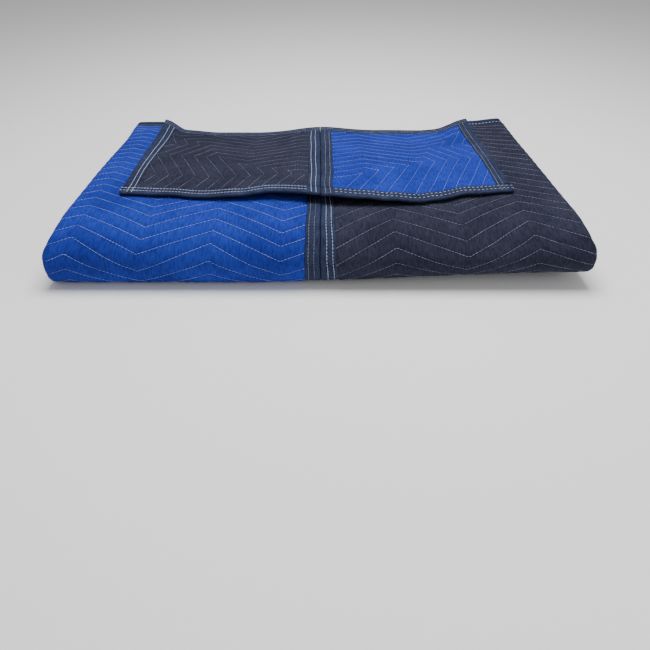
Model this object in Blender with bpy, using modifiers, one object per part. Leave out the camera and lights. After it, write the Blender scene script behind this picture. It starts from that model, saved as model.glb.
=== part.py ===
"""A folded moving blanket: two quilted half panels, bound edges, and two bound flaps on top.

Each panel is one sheet. It is folded across its width like a gate, so that its bound edge
lies on the centre line, and then along its length into four layers with a round front.
Metres, +Z up, +Y to the back. The blanket rests on the plane z = 0.
"""

import bisect
import math

import bmesh
import bpy
from mathutils import Vector

# Driving sizes of the folded blanket
WIDTH = 0.914
DEPTH = 0.512
HEIGHT = 0.115
PLIES = 8

# Cloth thickness, from the thinnest place to the thickest
BOUND_EDGE = 0.003
STITCHED = 0.0055
PLAIN = 0.007
PUFFED = 0.009

# Edge binding: a strip folded over the edge of the cloth
BINDING_WIDTH = 0.0254
BINDING_THICK = 0.0009
SEWN_GAP = 0.0003
LEG_GAP = 0.0006
BINDING_RISE = BOUND_EDGE / 2 + LEG_GAP + BINDING_THICK / 2
BINDING_REACH = SEWN_GAP + BINDING_THICK / 2
BINDING_SHOULDER = BINDING_REACH + BINDING_THICK / 2

# Quilting of the panels: zigzag lines that run from side to side
LINE_SPACING = 0.0243
ZIGZAG_HALF_PERIOD = 0.1175
ZIGZAG_RISE = 0.020
ZIGZAG_FIRST_APEX = {-1: 0.065, 1: 0.010}
ZIGZAG_FADE = 0.06

# The round front fold, seen from the side
FRONT_POINT_HEIGHT = 0.052
FRONT_UPPER_REACH = 0.075
FRONT_LOWER_REACH = 0.018
INNER_FOLD_GAP = 0.008
BACK_FOLD_INSET = 0.014
INNER_HEM_INSET = 0.008

# Plies of one layer, and layers of the folded stack
PLY_PITCH = (HEIGHT - PLAIN / 2 - PUFFED / 2) / (PLIES - 1)
HALF_LAYER = PLY_PITCH / 2
LOWEST_PLY = PLAIN / 2
FRONT = -DEPTH / 2
BACK = DEPTH / 2 - BINDING_SHOULDER
CENTRE_EDGE = BINDING_SHOULDER + SEWN_GAP
SEAM_EDGE = 0.0006

# Height lost by the top at the back hem, by distance from the centre line, left and right
BACK_SAG = {
    -1: ((0.0, 0.030), (0.16, 0.041), (0.26, 0.041), (0.335, 0.038), (0.392, 0.012), (0.457, 0.013)),
    1: ((0.0, 0.030), (0.14, 0.036), (0.24, 0.037), (0.285, 0.036), (0.38, 0.0145), (0.457, 0.0065)),
}
SAG_STARTS = -0.06

# How far the back hem is drawn forward, by distance from the centre line
BACK_DRAW = {
    -1: ((0.0, 0.015), (0.1, 0.024), (0.25, 0.024), (0.34, 0.018), (0.40, 0.013)),
    1: ((0.0, 0.015), (0.1, 0.020), (0.24, 0.020), (0.38, 0.0)),
}
DRAW_STARTS = 0.0

# The sag is steep about here, so the top ply has a column at it, and the ply below has columns near it
STEEP = 0.390
BASE_COLUMNS = (0.360, 0.300, 0.140)

# The low front of the pack spreads to both sides, by this share of its width, left and right
SPLAY = {-1: 0.046, 1: 0.034}
SPLAY_FROM = (-0.20, -0.06)
SPLAY_UNDER = (0.05, 0.112)

# One front corner stands a little off the ground
CORNER_LIFT = 0.027
CORNER_LIFT_FROM = (-0.15, -0.12)
CORNER_LIFT_UNDER = 0.085

# The low front slumps forward
SLUMP = 0.004
SLUMP_FROM = (-0.22, -0.12)
SLUMP_UNDER = (0.012, 0.085)

# The flaps, from their centre edge to their outer edge and from the back to the front
FLAP_OUTER = {-1: (0.385, 0.373), 1: (0.366, 0.361)}
FLAP_BACK = DEPTH / 2 - 0.010
FLAP_FRONT = {
    -1: ((0.0, -0.153), (0.24, -0.142), (0.41, -0.147), (0.58, -0.146), (0.76, -0.137), (1.0, -0.131)),
    1: ((0.0, -0.158), (0.21, -0.165), (0.5, -0.162), (0.58, -0.155), (0.77, -0.136), (1.0, -0.124)),
}
FLAP_LIFT = {
    -1: ((0.0, 0.012), (0.07, 0.014), (0.24, 0.012), (0.41, 0.006), (0.58, 0.001), (1.0, 0.0)),
    1: ((0.0, 0.013), (0.05, 0.014), (0.21, 0.012), (0.35, 0.007), (0.5, 0.002), (0.7, 0.003), (1.0, 0.0)),
}
FLAP_PUFFED = 0.0065
FLAP_STITCHED = 0.0045
FLAP_SEAT = 0.0018
FLAP_CORNER_CURL = {-1: 0.003, 1: 0.002}
FLAP_ZIGZAG = 0.026
FLAP_APEX_ROWS = {-1: (0.144, 0.043, -0.075), 1: (0.200, 0.098, 0.003, -0.115)}

# Plain colours of the cloth and the binding
BLUE = (0.024, 0.087, 0.45, 1.0)
NAVY = (0.026, 0.030, 0.062, 1.0)
BINDING_NAVY = (0.030, 0.042, 0.085, 1.0)


def clear_scene():
    """Remove every object that the scene starts with."""
    for obj in list(bpy.data.objects):
        bpy.data.objects.remove(obj)


def smooth(low, high, value):
    """0 below low, 1 above high, and a soft step between."""
    part = min(1.0, max(0.0, (value - low) / (high - low)))
    return part * part * (3 - 2 * part)


def between(table, value):
    """The soft value of a short (place, size) table."""
    if value <= table[0][0]:
        return table[0][1]
    for (low, first), (high, second) in zip(table, table[1:]):
        if value <= high:
            return first + (second - first) * smooth(low, high, value)
    return table[-1][1]


def zigzag(value, apex, half_period):
    """A wave of straight slopes: 1 at the apex, -1 half a period on."""
    part = ((value - apex) / half_period) % 2.0
    return 1 - 2 * part if part < 1 else 2 * part - 3


def arc(centre, radii, angles):
    """Points of part of an ellipse, between two angles in degrees."""
    steps = 48
    start, stop = angles
    points = []
    for step in range(1, steps + 1):
        angle = math.radians(start + (stop - start) * step / steps)
        y = centre[0] + radii[0] * math.cos(angle)
        z = centre[1] + radii[1] * math.sin(angle)
        points.append((y, z))
    return points


class FoldPath:
    """The middle line of one layer, seen from the side, from the top hem to the inner hem."""

    def __init__(self):
        layer = [LOWEST_PLY + HALF_LAYER + 2 * PLY_PITCH * index for index in range(4)]
        bottom, third, second, top = layer
        front = FRONT + HALF_LAYER + PUFFED / 2
        inner_front = front + 2 * HALF_LAYER + PLAIN + INNER_FOLD_GAP
        back_fold = BACK - BACK_FOLD_INSET - HALF_LAYER - PLAIN / 2
        turn = PLY_PITCH
        points = [(BACK, top), (front + FRONT_UPPER_REACH, top)]
        self.marks = [0.0]
        point = FRONT_POINT_HEIGHT
        upper = (front + FRONT_UPPER_REACH, point)
        lower = (front + FRONT_LOWER_REACH, point)
        behind = (back_fold - turn, bottom + turn)
        ahead = (inner_front + turn, third + turn)
        stretches = (
            arc(upper, (FRONT_UPPER_REACH, top - point), (90, 180)),
            arc(lower, (FRONT_LOWER_REACH, point - bottom), (180, 270)),
            [(back_fold - turn, bottom)],
            arc(behind, (turn, turn), (-90, 90)),
            [(inner_front + turn, third)],
            arc(ahead, (turn, turn), (270, 90)),
            [(BACK - INNER_HEM_INSET, second)],
        )
        ends = [1]
        for stretch in stretches:
            points += stretch
            ends.append(len(points) - 1)
        self.points = points
        self.lengths = [0.0]
        for (y1, z1), (y2, z2) in zip(points, points[1:]):
            self.lengths.append(self.lengths[-1] + math.hypot(y2 - y1, z2 - z1))
        self.marks += [self.lengths[end] for end in ends]
        self.total = self.lengths[-1]

    def at(self, length):
        """(y, z) of the line and of its normal, which points to the side of the gate ply."""
        index = bisect.bisect_right(self.lengths, length) - 1
        index = min(max(index, 0), len(self.points) - 2)
        (y1, z1), (y2, z2) = self.points[index], self.points[index + 1]
        span = self.lengths[index + 1] - self.lengths[index]
        part = (length - self.lengths[index]) / span
        first = self.turned(index)
        second = self.turned(index + 1)
        normal_y = first[0] + (second[0] - first[0]) * part
        normal_z = first[1] + (second[1] - first[1]) * part
        size = math.hypot(normal_y, normal_z)
        return y1 + (y2 - y1) * part, z1 + (z2 - z1) * part, normal_y / size, normal_z / size

    def turned(self, index):
        """The normal at one point of the line."""
        before = max(index - 1, 0)
        after = min(index + 1, len(self.points) - 1)
        if index in (0, 1) or index == len(self.points) - 2:
            before, after = (0, 1) if index < 2 else (index, index + 1)
        way_y = self.points[after][0] - self.points[before][0]
        way_z = self.points[after][1] - self.points[before][1]
        size = math.hypot(way_y, way_z)
        return way_z / size, -way_y / size


PATH = FoldPath()
FLAT_HALF = WIDTH / 2 - CENTRE_EDGE - HALF_LAYER - PLAIN / 2
ACROSS = FLAT_HALF + math.pi * HALF_LAYER + (WIDTH / 2 - SEAM_EDGE - HALF_LAYER - PLAIN / 2)
VISIBLE_END = PATH.marks[3]


def draw(x):
    """How far the back hem lies forward of its full depth here."""
    return between(BACK_DRAW[-1 if x < 0 else 1], abs(x))


def sag(x, y):
    """How far the top lies under its full height here."""
    side = -1 if x < 0 else 1
    return between(BACK_SAG[side], abs(x)) * smooth(SAG_STARTS, BACK - draw(x), y)


def settled(x, y, z):
    """Where a point of the even stack lies in the real one.

    That one sags and draws in at the back, spreads and slumps at the low front and lifts at one
    front corner.
    """
    spread = (1 - smooth(*SPLAY_FROM, y)) * (1 - smooth(*SPLAY_UNDER, z))
    x *= 1 + SPLAY[-1 if x < 0 else 1] * spread
    share = max(0.0, (z - LOWEST_PLY) / (HEIGHT - LOWEST_PLY))
    moved = y - draw(x) * smooth(DRAW_STARTS, BACK, y) * share
    low = max(0.0, 1 - z / CORNER_LIFT_UNDER)
    outward = smooth(CORNER_LIFT_FROM[0], WIDTH / 2, x)
    forward = 1 - smooth(FRONT, CORNER_LIFT_FROM[1], y)
    lift = CORNER_LIFT * outward * forward * low
    moved -= SLUMP * (1 - smooth(*SLUMP_FROM, y)) * (1 - smooth(*SLUMP_UNDER, z))
    return Vector((x, moved, z - sag(x, moved) * share + lift))


def panel_point(side, across, along, off=0.0):
    """A point of one panel: across from its centre edge, along from its top hem, off its middle."""
    if across <= FLAT_HALF:
        x, away, out_x, out_n = CENTRE_EDGE + across, HALF_LAYER, 0.0, 1.0
    elif across <= FLAT_HALF + math.pi * HALF_LAYER:
        angle = (across - FLAT_HALF) / HALF_LAYER
        out_x, out_n = math.sin(angle), math.cos(angle)
        x = CENTRE_EDGE + FLAT_HALF + HALF_LAYER * out_x
        away = HALF_LAYER * out_n
    else:
        x = SEAM_EDGE + ACROSS - across
        away, out_x, out_n = -HALF_LAYER, 0.0, -1.0
    y, z, normal_y, normal_z = PATH.at(along)
    away += off * out_n
    return settled(side * (x + off * out_x), y + normal_y * away, z + normal_z * away)


def raised(place, first, second, rise):
    """The point that lies off a surface, square to it. place(first, second) gives the surface."""
    step = 0.0005
    way_one = place(first + step, second) - place(first - step, second)
    way_two = place(first, second + step) - place(first, second - step)
    return place(first, second) + way_one.cross(way_two).normalized() * rise


def even_steps(start, stop, pitch):
    """Places from start, left out, to stop, at about the pitch."""
    count = max(1, round(abs(stop - start) / pitch))
    return [start + (stop - start) * step / count for step in range(1, count + 1)]


def panel_rows():
    """(place along, thickness on show, share of the zigzag) of each row of a panel's grid."""
    rows = [(0.0, BOUND_EDGE, 0.0), (BINDING_WIDTH, BOUND_EDGE, 0.0)]
    quilted = even_steps(BINDING_WIDTH, VISIBLE_END, LINE_SPACING / 2)
    for index, along in enumerate(quilted):
        nearest = min(along - BINDING_WIDTH, VISIBLE_END - along)
        fade = min(1.0, nearest / ZIGZAG_FADE)
        rows.append((along, STITCHED if index % 2 else PUFFED, fade))
    rows[-1] = (VISIBLE_END, PLAIN, 0.0)
    marks = PATH.marks
    for start, stop, pitch in (
        (marks[3], marks[4], 0.115),
        (marks[4], marks[5], 0.016),
        (marks[5], marks[6], 0.1),
        (marks[6], marks[7], 0.016),
        (marks[7], marks[8] - BINDING_WIDTH - 0.02, 0.09),
    ):
        rows += [(along, PLAIN, 0.0) for along in even_steps(start, stop, pitch)]
    rows += [(PATH.total - BINDING_WIDTH, BOUND_EDGE, 0.0), (PATH.total, BOUND_EDGE, 0.0)]
    return rows


def panel_columns(side):
    """Places across of the columns of a panel's grid: the zigzag's apexes and the middles between them."""
    columns = [0.0, BINDING_WIDTH]
    place = ZIGZAG_FIRST_APEX[side] - CENTRE_EDGE
    while place < FLAT_HALF - 0.02:
        if place > BINDING_WIDTH + 0.01:
            columns.append(place)
        place += ZIGZAG_HALF_PERIOD / 2
    columns = sorted(columns + [STEEP - CENTRE_EDGE, FLAT_HALF])
    columns += even_steps(FLAT_HALF, FLAT_HALF + math.pi * HALF_LAYER, 0.008)
    columns += [SEAM_EDGE + ACROSS - place for place in BASE_COLUMNS]
    columns += [ACROSS - BINDING_WIDTH, ACROSS]
    return columns


def row_place(side, across, row):
    """Where a row of the grid crosses this column: the rows on show follow the zigzag."""
    along, _, fade = row
    if across > FLAT_HALF:
        return along
    wave = zigzag(CENTRE_EDGE + across, ZIGZAG_FIRST_APEX[side], ZIGZAG_HALF_PERIOD)
    return along + ZIGZAG_RISE * wave * fade * (1 - smooth(FLAT_HALF - 0.03, FLAT_HALF, across))


def panel_thickness(across, row):
    """Thickness of the cloth at one point of a panel's grid."""
    thick = row[1]
    if across <= BINDING_WIDTH + 1e-6:
        return BOUND_EDGE
    if across > FLAT_HALF + 1e-6 and thick in (STITCHED, PUFFED):
        return PLAIN
    return thick


def material_named(name, colour, roughness):
    """The one material of this name."""
    found = bpy.data.materials.get(name)
    if found:
        return found
    made = bpy.data.materials.new(name)
    made.use_nodes = True
    shader = made.node_tree.nodes["Principled BSDF"]
    shader.inputs["Base Color"].default_value = colour
    shader.inputs["Roughness"].default_value = roughness
    shader.inputs["Metallic"].default_value = 0.0
    made.diffuse_color = colour
    return made


def sheet_of(name, points, material, collection, turned=()):
    """A grid moved onto its points, with its squares cut in two, in the turned columns the other way."""
    along = len(points)
    across = len(points[0])
    mesh = bpy.data.meshes.new(name)
    shape = bmesh.new()
    bmesh.ops.create_grid(shape, x_segments=across - 1, y_segments=along - 1, size=1.0)
    places = {}
    for vertex in shape.verts:
        column = round((vertex.co.x + 1) / 2 * (across - 1))
        row = round((vertex.co.y + 1) / 2 * (along - 1))
        places[vertex] = (column, row)
    plain = []
    other = []
    for face in shape.faces:
        column = min(places[vertex][0] for vertex in face.verts)
        (other if column in turned else plain).append(face)
    bmesh.ops.triangulate(shape, faces=plain, quad_method="FIXED")
    bmesh.ops.triangulate(shape, faces=other, quad_method="ALTERNATE")
    for vertex, (column, row) in places.items():
        vertex.co = points[row][column]
    shape.verts.index_update()
    order = {vertex.index: place for vertex, place in places.items()}
    shape.to_mesh(mesh)
    shape.free()
    obj = bpy.data.objects.new(name, mesh)
    collection.objects.link(obj)
    obj.data.materials.append(material)
    return obj, order


def cloth(name, points, thicknesses, full, material, collection):
    """A closed sheet with its own thickness at each point of its grid."""
    obj, order = sheet_of(name, points, material, collection)
    group = obj.vertex_groups.new(name="thickness")
    for index, (column, row) in order.items():
        group.add([index], thicknesses[row][column] / full, "REPLACE")
    thicken(obj, full, "thickness")


def thicken(obj, thickness, group=""):
    """Give a sheet its thickness, half to each side of it."""
    shell = obj.modifiers.new("Thickness", "SOLIDIFY")
    shell.thickness = thickness
    shell.offset = 0.0
    shell.use_even_offset = False
    shell.use_rim = True
    if group:
        shell.vertex_group = group


def make_panel(side, collection, face, binding):
    """One half of the blanket and the strips that bind it."""
    label = "left" if side < 0 else "right"
    rows = panel_rows()
    columns = panel_columns(side)
    points = []
    thicknesses = []
    for row in rows:
        line = []
        for across in columns:
            line.append(panel_point(side, across, row_place(side, across, row)))
        points.append(line)
        thicknesses.append([panel_thickness(across, row) for across in columns])
    cloth(f"panel_{label}", points, thicknesses, PUFFED, face, collection)

    def surface(across, along):
        return panel_point(side, across, along)

    starts = BINDING_WIDTH + SEWN_GAP
    inside = [row for row in rows if starts < row[0] < PATH.total - starts]
    flat_end = PATH.marks[1] - ZIGZAG_RISE
    inside = [row for index, row in enumerate(inside) if row[0] > flat_end or index % 2]
    inside = [(starts, 0, 0)] + inside + [(PATH.total - starts, 0, 0)]

    def centre_pairs(reach):
        across = -BINDING_REACH if reach else BINDING_WIDTH
        return [(across, row_place(side, max(across, 0.0), row)) for row in inside]

    def top_hem_pairs(reach):
        along = -BINDING_REACH if reach else BINDING_WIDTH
        return [(across, along) for across in [-SEWN_GAP] + columns[1:]]

    def inner_hem_pairs(reach):
        along = PATH.total + BINDING_REACH if reach else PATH.total - BINDING_WIDTH
        return [(across, along) for across in [-SEWN_GAP] + columns[1:]]

    strips = (
        ("centre", centre_pairs, True),
        ("top_hem", top_hem_pairs, True),
        ("inner_hem", inner_hem_pairs, False),
    )
    for place, pairs_at, low_edge in strips:
        bind(f"binding_{place}_{label}", surface, pairs_at, low_edge, binding, collection)


def bind(name, surface, pairs_at, low_edge, material, collection):
    """Fold a strip over one edge of a sheet. pairs_at gives places along the strip's edge or its fold.

    low_edge is true at an edge where the sheet's grid starts. Each side of the strip is cut into
    triangles as the sheet next to it is, so that the two stay the same distance apart.
    """
    loops = []
    for reach, rise in ((0, 1), (1, 1), (1, -1), (0, -1)):
        loops.append([raised(surface, *pair, rise * BINDING_RISE) for pair in pairs_at(reach)])
    points = [list(line) for line in zip(*loops)]
    turned = (0,) if low_edge else (2,)
    thicken(sheet_of(name, points, material, collection, turned)[0], BINDING_THICK)


def flap_point(side, share, forward):
    """A point of one flap: shares of its width, from the centre, and of its depth, from the back."""
    outer_back, outer_front = FLAP_OUTER[side]
    outer = outer_back + (outer_front - outer_back) * forward
    away = CENTRE_EDGE + (outer - CENTRE_EDGE) * share
    back = FLAP_BACK - draw(side * away)
    front = between(FLAP_FRONT[side], share)
    y = back + (front - back) * forward
    step = 0.002
    slope_x = (deck(side, away + step, y) - deck(side, away - step, y)) / (2 * step)
    slope_y = (deck(side, away, y + step) - deck(side, away, y - step)) / (2 * step)
    clear = FLAP_SEAT + (PUFFED + FLAP_PUFFED) / 2
    height = deck(side, away, y) - PUFFED / 2 + clear * math.sqrt(1 + slope_x ** 2 + slope_y ** 2)
    lift = between(FLAP_LIFT[side], share) * smooth(0.55, 1.0, forward)
    curl = FLAP_CORNER_CURL[side] * smooth(0.8, 1.0, share) * (1 - smooth(0.0, 0.35, forward))
    return Vector((side * away, y, height + lift + curl))


def deck(side, away, y):
    """Height of the top layer, flat between the columns of its grid."""
    places = [CENTRE_EDGE + across for across in panel_columns(side) if across <= FLAT_HALF]
    index = bisect.bisect_right(places, away) - 1
    index = min(max(index, 0), len(places) - 2)
    low, high = places[index], places[index + 1]
    first = sag(side * low, y)
    second = sag(side * high, y)
    return HEIGHT - first - (second - first) * (away - low) / (high - low)


def make_flap(side, collection, face, binding):
    """One small bound piece that lies on the top layer."""
    label = "left" if side < 0 else "right"
    wide = (FLAP_OUTER[side][0] + FLAP_OUTER[side][1]) / 2 - CENTRE_EDGE
    long = FLAP_BACK - FLAP_FRONT[side][0][1]
    edge_share = BINDING_WIDTH / wide
    edge_forward = BINDING_WIDTH / long
    inside = even_steps(edge_share, 1 - edge_share, LINE_SPACING / 2 / wide)
    shares = [0.0, edge_share] + inside + [1.0]
    apexes = [(FLAP_BACK - y) / long for y in FLAP_APEX_ROWS[side]]
    stops = sorted([edge_forward] + apexes + [1 - edge_forward])
    forwards = [0.0, edge_forward]
    for start, stop in zip(stops, stops[1:]):
        forwards += even_steps(start, stop, 0.1)
    forwards.append(1.0)
    points = []
    thicknesses = []
    for forward in forwards:
        wave = flap_wave(side, forward, stops)
        line = []
        sizes = []
        for index, share in enumerate(shares):
            bound = index < 2 or index > len(shares) - 3
            end = forward < edge_forward + 1e-6 or forward > 1 - edge_forward - 1e-6
            nearest = min(share - edge_share, 1 - edge_share - share)
            inner = min(1.0, nearest / 0.2)
            moved = share if bound else share + wave * inner * FLAP_ZIGZAG / wide
            line.append(flap_point(side, moved, forward))
            puff = FLAP_STITCHED if index % 2 else FLAP_PUFFED
            sizes.append(BOUND_EDGE if bound or end else puff)
        points.append(line)
        thicknesses.append(sizes)
    cloth(f"flap_{label}", points, thicknesses, FLAP_PUFFED, face, collection)
    bind_flap(side, label, shares, forwards, (wide, long), binding, collection)


def flap_wave(side, forward, stops):
    """The zigzag of a flap's quilting lines, which run from the back to the front."""
    if forward <= stops[0] or forward >= stops[-1]:
        return 0.0
    outward = side < 0
    for index, (start, stop) in enumerate(zip(stops, stops[1:])):
        if forward <= stop:
            way = -1 if (index % 2 == 0) == outward else 1
            part = (forward - start) / (stop - start)
            first = 0.0 if index == 0 else -way
            last = 0.0 if index == len(stops) - 2 else way
            return first + (last - first) * part
    return 0.0


def bind_flap(side, label, shares, forwards, size, binding, collection):
    """The four strips round a flap: two run its full width and the others butt on them."""
    wide, long = size

    def surface(share, forward):
        return flap_point(side, share, forward)

    def side_pairs(edge, way):
        def pairs(reach):
            away = -BINDING_REACH if reach else BINDING_WIDTH
            share = edge + way * away / wide
            start = (BINDING_WIDTH + SEWN_GAP) / long
            return [(share, forward) for forward in [start] + forwards[2:-2] + [1 - start]]

        return pairs

    def end_pairs(edge, way):
        def pairs(reach):
            away = -BINDING_REACH if reach else BINDING_WIDTH
            forward = edge + way * away / long
            overhang = BINDING_SHOULDER / wide
            return [(share, forward) for share in [-overhang] + shares[1:-1] + [1 + overhang]]

        return pairs

    for place, pairs_at, low_edge in (
        ("inner", side_pairs(0.0, 1), True),
        ("outer", side_pairs(1.0, -1), False),
        ("back", end_pairs(0.0, 1), True),
        ("front", end_pairs(1.0, -1), False),
    ):
        bind(f"binding_flap_{place}_{label}", surface, pairs_at, low_edge, binding, collection)


def build():
    """Model the whole blanket."""
    clear_scene()
    collection = bpy.data.collections.new("moving_blanket")
    bpy.context.scene.collection.children.link(collection)
    blue = material_named("quilted_blue", BLUE, 0.85)
    navy = material_named("quilted_navy", NAVY, 0.85)
    binding = material_named("binding_navy", BINDING_NAVY, 0.75)
    for side, face, reverse in ((-1, blue, navy), (1, navy, blue)):
        make_panel(side, collection, face, binding)
        make_flap(side, collection, reverse, binding)


build()
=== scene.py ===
"""A folded moving blanket: quilted panels, bound flaps, binding, stitches and their finishes."""

import bisect
import math
from functools import partial

import bmesh
import bpy
import numpy as np
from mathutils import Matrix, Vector, noise


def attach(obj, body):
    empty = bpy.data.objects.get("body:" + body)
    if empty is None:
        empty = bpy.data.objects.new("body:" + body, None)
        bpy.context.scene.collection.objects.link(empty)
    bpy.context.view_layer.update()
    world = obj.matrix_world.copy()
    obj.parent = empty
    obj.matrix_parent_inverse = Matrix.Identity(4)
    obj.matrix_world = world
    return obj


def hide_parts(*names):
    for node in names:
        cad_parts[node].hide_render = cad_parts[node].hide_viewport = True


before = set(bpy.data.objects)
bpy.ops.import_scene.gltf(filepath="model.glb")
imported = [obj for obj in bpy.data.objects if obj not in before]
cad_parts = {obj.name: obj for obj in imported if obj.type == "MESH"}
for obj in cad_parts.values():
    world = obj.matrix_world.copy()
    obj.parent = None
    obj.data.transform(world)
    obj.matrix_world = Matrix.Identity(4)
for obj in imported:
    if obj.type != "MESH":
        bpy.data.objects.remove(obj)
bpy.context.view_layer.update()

# The two halves, seen from the front: -1 is the left one
LABELS = {-1: "left", 1: "right"}

# Driving sizes of the folded blanket, in metres, as in the part
WIDTH = 0.914
DEPTH = 0.512
HEIGHT = 0.115
PLIES = 8

# Cloth thickness at a bound edge, on a stitched line and between the lines
BOUND_EDGE = 0.003
STITCHED = 0.0056
SEAM_FADE = 0.0016
PLAIN = 0.007
PUFFED = 0.009
HIDDEN_PUFF = 0.0068
SIDE_THICK = 0.0072
SIDE_CALM = 0.6

# Edge binding: a tape folded over the edge of the cloth
BINDING_WIDTH = 0.0254
TAPE_THICK = 0.0008
SEWN_GAP = 0.0003
BINDING_SHOULDER = 0.0012

# Quilting: zigzag lines from side to side, each a little further back towards the sides
LINE_SPACING = 0.0243
FRONT_LINES = {
    -1: (0.4462, 0.4692, 0.4903, 0.5131, 0.5375, 0.5608),
    1: (0.4385, 0.4655, 0.4897, 0.5160, 0.5388, 0.5645),
}
ZIGZAG_HALF_PERIOD = 0.1178
ZIGZAG_RISE = {
    -1: (
        (0.42, 0.026), (0.4462, 0.0233), (0.4692, 0.0202),
        (0.4903, 0.0197), (0.5131, 0.0229), (0.56, 0.024),
    ),
    1: ((0.42, 0.026), (0.4655, 0.0238), (0.5160, 0.0262)),
}
ZIGZAG_FIRST_APEX = {-1: 0.065, 1: 0.008}
ZIGZAG_FADE = 0.06
LINE_DRIFT = {-1: 0.042, 1: 0.085}
DRIFT_CENTRE = 0.24

# Rows of a panel's grid, as parts of the way from one quilting line to the next
SEEN_PARTS = (0.0, 0.07, 0.2, 0.38, 0.62, 0.8, 0.93)
HIDDEN_PARTS = (0.0, 0.12, 0.5, 0.88)

# The round front fold, seen from the side
FRONT_POINT_HEIGHT = 0.052
FRONT_UPPER_REACH = 0.075
FRONT_LOWER_REACH = 0.018
INNER_FOLD_GAP = 0.008
BACK_FOLD_INSET = 0.014
INNER_HEM_INSET = 0.008

# Plies of one layer, and layers of the folded stack
PLY_PITCH = (HEIGHT - PLAIN / 2 - PUFFED / 2) / (PLIES - 1)
HALF_LAYER = PLY_PITCH / 2
LOWEST_PLY = PLAIN / 2
FRONT = -DEPTH / 2
BACK = DEPTH / 2 - BINDING_SHOULDER
CENTRE_EDGE = BINDING_SHOULDER + SEWN_GAP
SEAM_EDGE = 0.0006

# Height lost by the top at the back hem, by distance from the centre line, left and right
BACK_SAG = {
    -1: ((0.0, 0.030), (0.16, 0.041), (0.26, 0.041), (0.335, 0.038), (0.392, 0.012), (0.457, 0.013)),
    1: ((0.0, 0.030), (0.14, 0.036), (0.24, 0.037), (0.285, 0.036), (0.38, 0.0145), (0.457, 0.0065)),
}
SAG_STARTS = -0.06

# How far the back hem is drawn forward, by distance from the centre line
BACK_DRAW = {
    -1: ((0.0, 0.015), (0.1, 0.024), (0.25, 0.024), (0.34, 0.018), (0.40, 0.013)),
    1: ((0.0, 0.015), (0.1, 0.020), (0.24, 0.020), (0.38, 0.0)),
}
DRAW_STARTS = 0.0

# How far the meeting edges sway to a side, and the back hems to the front
CENTRE_SWAY = 0.0024
HEM_SWAY = 0.0022
HEM_FROM = 0.12

# The low front spreads to both sides and slumps forward, and one front corner stands off the ground
SPLAY = {-1: 0.046, 1: 0.034}
SPLAY_FROM = (-0.20, -0.06)
SPLAY_UNDER = {-1: (0.060, 0.117), 1: (0.070, 0.122)}
EAR_SPREAD = {-1: 0.016, 1: 0.005}
EAR_FROM = 0.13
EAR_HEIGHT = (0.04, 0.10)
EAR_AWAY = (0.36, 0.44)
CORNER_LIFT = 0.027
CORNER_LIFT_FROM = (-0.15, -0.12)
CORNER_LIFT_UNDER = 0.085
SLUMP = 0.004
SLUMP_FROM = (-0.22, -0.12)
SLUMP_UNDER = (0.012, 0.085)

# The flaps, from their centre edge to their outer edge and from the back to the front
FLAP_OUTER = {-1: (0.385, 0.373), 1: (0.366, 0.361)}
FLAP_BACK = DEPTH / 2 - 0.010
FLAP_FRONT = {
    -1: ((0.0, -0.153), (0.24, -0.142), (0.41, -0.147), (0.58, -0.146), (0.76, -0.137), (1.0, -0.131)),
    1: ((0.0, -0.158), (0.21, -0.165), (0.5, -0.162), (0.58, -0.155), (0.77, -0.136), (1.0, -0.124)),
}
FLAP_LIFT = {
    -1: ((0.0, 0.012), (0.07, 0.014), (0.24, 0.012), (0.41, 0.006), (0.58, 0.001), (1.0, 0.0)),
    1: (
        (0.0, 0.013), (0.05, 0.014), (0.21, 0.012), (0.35, 0.007),
        (0.5, 0.002), (0.7, 0.003), (1.0, 0.0),
    ),
}
FLAP_PUFFED = 0.0064
FLAP_STITCHED = 0.0042
FLAP_SEAT = 0.0018
FLAP_CORNER_CURL = {-1: 0.003, 1: 0.002}

# Quilting of a flap: the lines turn a corner on the diagonal, and zigzag along both ways.
# Each table gives the swing of a line by its distance from the other edge.
FLAP_LINE_SPACING = {-1: 0.0272, 1: 0.0262}
FLAP_SWING_ALONG = {
    -1: ((0.0, 0.010), (0.078, -0.026), (0.190, 0.027), (0.290, -0.020), (0.42, 0.030)),
    1: ((0.0, -0.046), (0.158, 0.028), (0.255, -0.020), (0.355, 0.026), (0.42, 0.0)),
}
FLAP_SWING_ACROSS = {
    -1: ((0.0, 0.006), (0.042, 0.022), (0.150, -0.026), (0.270, 0.026), (0.40, -0.026)),
    1: ((0.0, -0.020), (0.088, 0.026), (0.205, -0.024), (0.320, 0.026), (0.40, 0.0)),
}

# Rows of stitches on a binding, from its folded edge, and the tape's rise off the cloth's middle
TAPE_ROWS = (0.010, 0.020)
OUTER_TAPE_ROWS = (0.0125, 0.0215)
TAPE_SEWN_RISE = 0.0020
TAPE_FREE_RISE = 0.0028
TAPE_END = BINDING_WIDTH + 0.0008

# How far a tape leans off its even line, by distance along it, left and right
NO_LEAN = ((0.0, 0.0), (1.0, 0.0))
CENTRE_LEAN = {
    -1: ((0.36, -0.0026), (0.48, -0.0022), (0.60, -0.0010), (0.80, 0.0)),
    1: ((0.36, -0.0050), (0.42, -0.0032), (0.58, 0.0044), (0.80, 0.0)),
}
FLAP_LEAN = {
    -1: ((0.10, 0.0), (0.34, -0.0036)),
    1: ((0.06, 0.0), (0.34, -0.0040)),
}

# Pitches of the grids and of the stitched lines' points
FLAP_GRID = 0.0026
TAPE_GRID = 0.007
FLAT_GRID = 0.006
SIDE_GRID = 0.003
HIDDEN_GRID = 0.035
LINE_POINTS = 0.0058
FLAP_LINE_POINTS = 160

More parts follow.
